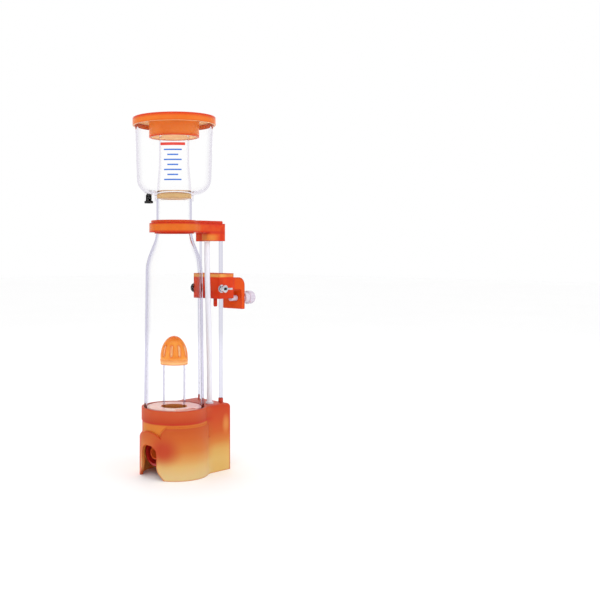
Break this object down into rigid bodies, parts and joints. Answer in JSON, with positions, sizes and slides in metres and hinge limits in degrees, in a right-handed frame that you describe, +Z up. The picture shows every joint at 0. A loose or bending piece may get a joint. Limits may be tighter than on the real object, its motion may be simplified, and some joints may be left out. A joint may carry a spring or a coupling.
{
  "type": "protein skimmer",
  "caption": "Slim hang-on protein skimmer: pump base, clear reaction chamber, lift-off collection cup, and a tank clamp that slides on two rods.",
  "frame": {"origin": "the reaction chamber's axis, in the plane of the base's foot", "axes": "+Z up along the chamber's axis; +X from the pump's intake to the guide rods and the tank clamp"},
  "size_m": [0.1485, 0.087, 0.3712],
  "materials": {
    "orange_frosted": "frosted translucent moulding",
    "orange_clear": "glossy translucent moulding",
    "red_plastic": "glossy translucent",
    "pump_red": "glossy moulding",
    "clear_acrylic": "polished clear acrylic",
    "rod_acrylic": "polished clear rod",
    "hose_silicone": "milky clear silicone",
    "silicone": "translucent silicone",
    "orange_silicone": "soft orange silicone",
    "black_rubber": "matt",
    "black_plastic": "satin",
    "white_plastic": "satin",
    "knob_plastic": "milky translucent",
    "magnet": "coated ferrite",
    "ceramic_shaft": "polished",
    "black_steel": "black oxide",
    "stainless": "brushed"
  },
  "bodies": {
    "root": {"base_housing": "orange_frosted", "rod_ferrules": "red_plastic", "chamber_seal": "silicone", "reaction_chamber": "clear_acrylic", "bubble_tube": "clear_acrylic", "diffuser_cap": "orange_clear", "volute_housing": "pump_red", "intake_collar": "pump_red", "venturi_nozzle": "orange_clear", "pump_motor_body": "black_plastic", "cable_gland": "black_rubber", "rotor_shaft": "ceramic_shaft", "shaft_bushes": "black_rubber", "front_guide_rod": "rod_acrylic", "rear_guide_rod": "rod_acrylic", "neck_bracket": "orange_clear", "air_hose": "hose_silicone", "inner_air_hose": "hose_silicone", "lower_hose_barb": "black_plastic", "upper_hose_barb": "white_plastic"},
    "rotor": {"rotor_magnet": "magnet", "needle_wheel": "white_plastic"},
    "cup": {"collection_cup": "clear_acrylic", "riser_tube": "clear_acrylic", "cup_seal_ring": "orange_silicone"},
    "lid": {"cup_lid": "orange_clear"},
    "plug": {"drain_plug": "black_rubber"},
    "clamp": {"clamp_slider": "orange_clear", "clamp_bolt": "black_steel", "clamp_washer": "stainless"},
    "nut": {"wing_nut": "stainless"},
    "screw_foot": {"screw_tip": "knob_plastic"},
    "screw": {"thumb_screw": "knob_plastic"}
  },
  "joints": [
    {"name": "cup_lift", "type": "slide", "parent": "root", "child": "cup", "axis": [0, 0, 1], "range_m": [0, 0.08]},
    {"name": "lid_lift", "type": "slide", "parent": "cup", "child": "lid", "axis": [0, 0, 1], "range_m": [0, 0.05]},
    {"name": "plug_pull", "type": "slide", "parent": "cup", "child": "plug", "axis": [0, 0, -1], "range_m": [0, 0.012]},
    {"name": "clamp_slide", "type": "slide", "parent": "root", "child": "clamp", "axis": [0, 0, 1], "range_m": [-0.085, 0.03]},
    {"name": "wing_nut_spin", "type": "hinge", "parent": "clamp", "child": "nut", "pos_m": [0.049, -0.0215, 0.1918], "axis": [0, 1, 0], "continuous": true},
    {"name": "screw_feed", "type": "slide", "parent": "clamp", "child": "screw_foot", "axis": [-1, 0, 0], "range_m": [-0.006, 0.002]},
    {"name": "screw_turn", "type": "hinge", "parent": "screw_foot", "child": "screw", "pos_m": [0.09, -0.012, 0.1807], "axis": [-1, 0, 0], "range_deg": [-1730, 580]},
    {"name": "impeller_spin", "type": "hinge", "parent": "root", "child": "rotor", "pos_m": [0.014, 0, 0.025], "axis": [1, 0, 0], "continuous": true}
  ],
  "couplings": [
    {"joint": "screw_turn", "follows": "screw_feed", "rad_per_m": 5026.5}
  ]
}
